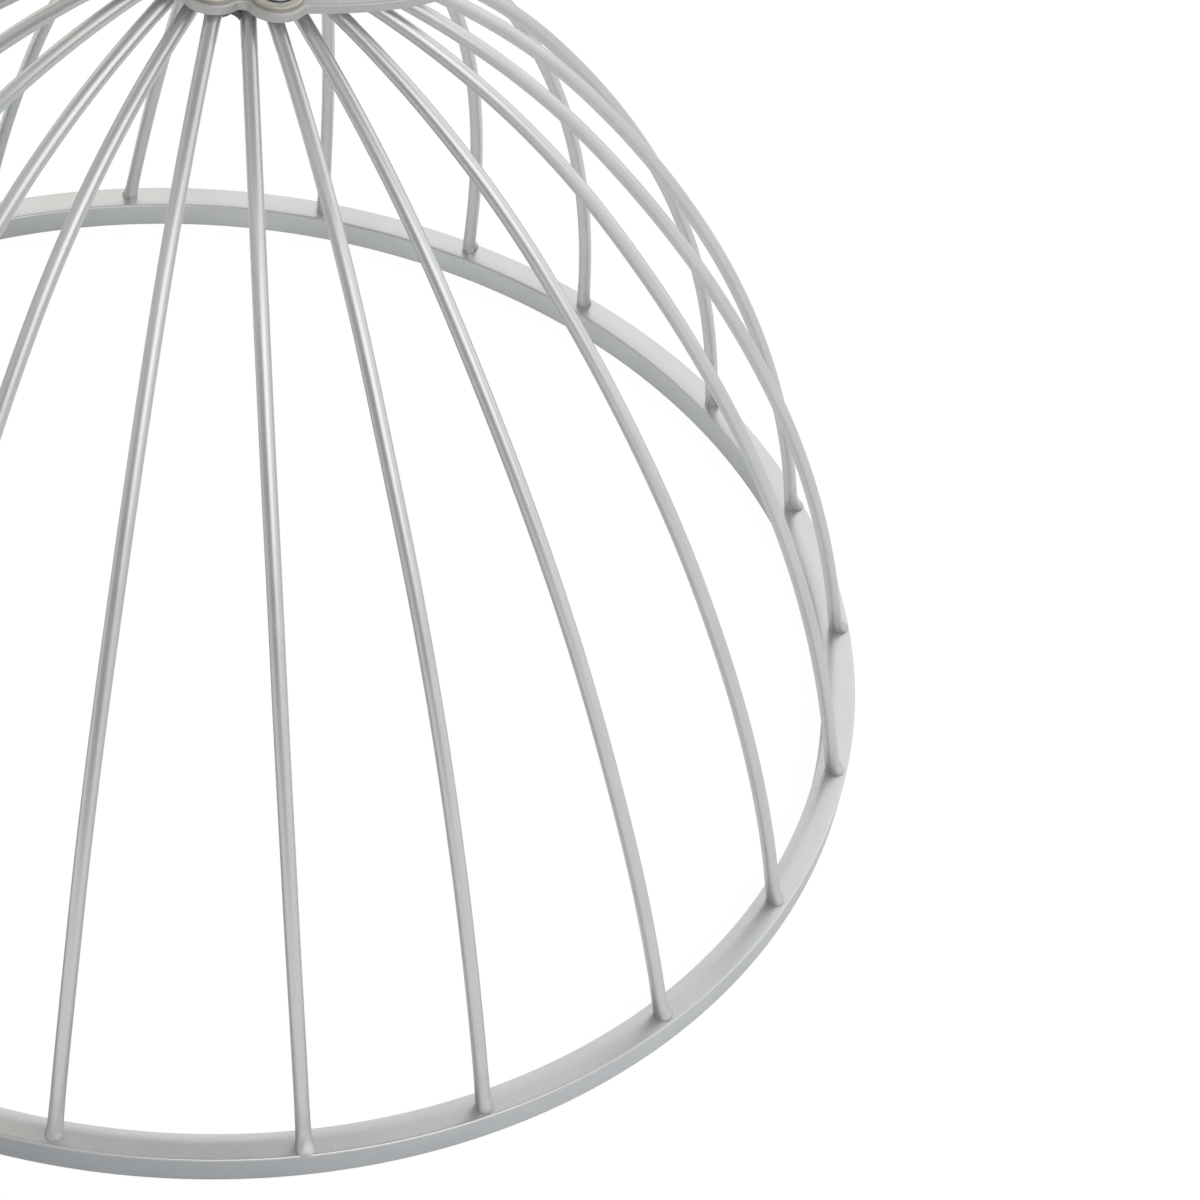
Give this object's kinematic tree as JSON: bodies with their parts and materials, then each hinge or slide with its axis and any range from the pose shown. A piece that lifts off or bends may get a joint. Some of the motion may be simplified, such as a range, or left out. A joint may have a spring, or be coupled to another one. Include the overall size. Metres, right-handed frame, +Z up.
{
  "type": "wire cage lamp shade",
  "caption": "Open dome lamp shade: bent wire ribs welded between a square-bar hoop and an oval hub plate with a collar, bored for a lamp holder.",
  "frame": {"origin": "centre of the base hoop's underside, on the surface that the shade stands on", "axes": "+Z up through the hub's hole; -Y towards the side that the picture shows, +X to its right"},
  "size_m": [0.44, 0.44, 0.3063],
  "materials": {
    "silver_paint": "satin silver-grey paint with slight unevenness",
    "yellow_zinc": "dull yellowish plating",
    "screw_steel": "plain steel, slightly dark"
  },
  "bodies": {
    "root": {"base_hoop": "silver_paint", "rib_01": "silver_paint", "rib_02": "silver_paint", "rib_03": "silver_paint", "rib_04": "silver_paint", "rib_05": "silver_paint", "rib_06": "silver_paint", "rib_07": "silver_paint", "rib_08": "silver_paint", "rib_09": "silver_paint", "rib_10": "silver_paint", "rib_11": "silver_paint", "rib_12": "silver_paint", "rib_13": "silver_paint", "rib_14": "silver_paint", "rib_15": "silver_paint", "rib_16": "silver_paint", "rib_17": "silver_paint", "rib_18": "silver_paint", "rib_19": "silver_paint", "rib_20": "silver_paint", "rib_21": "silver_paint", "rib_22": "silver_paint", "hub_plate": "silver_paint", "collar": "silver_paint", "washer_front_left": "yellow_zinc", "washer_front_right": "yellow_zinc", "washer_back_left": "yellow_zinc", "washer_back_right": "yellow_zinc", "screw_front_left": "screw_steel", "screw_front_right": "screw_steel", "screw_back_left": "screw_steel", "screw_back_right": "screw_steel"}
  },
  "joints": []
}
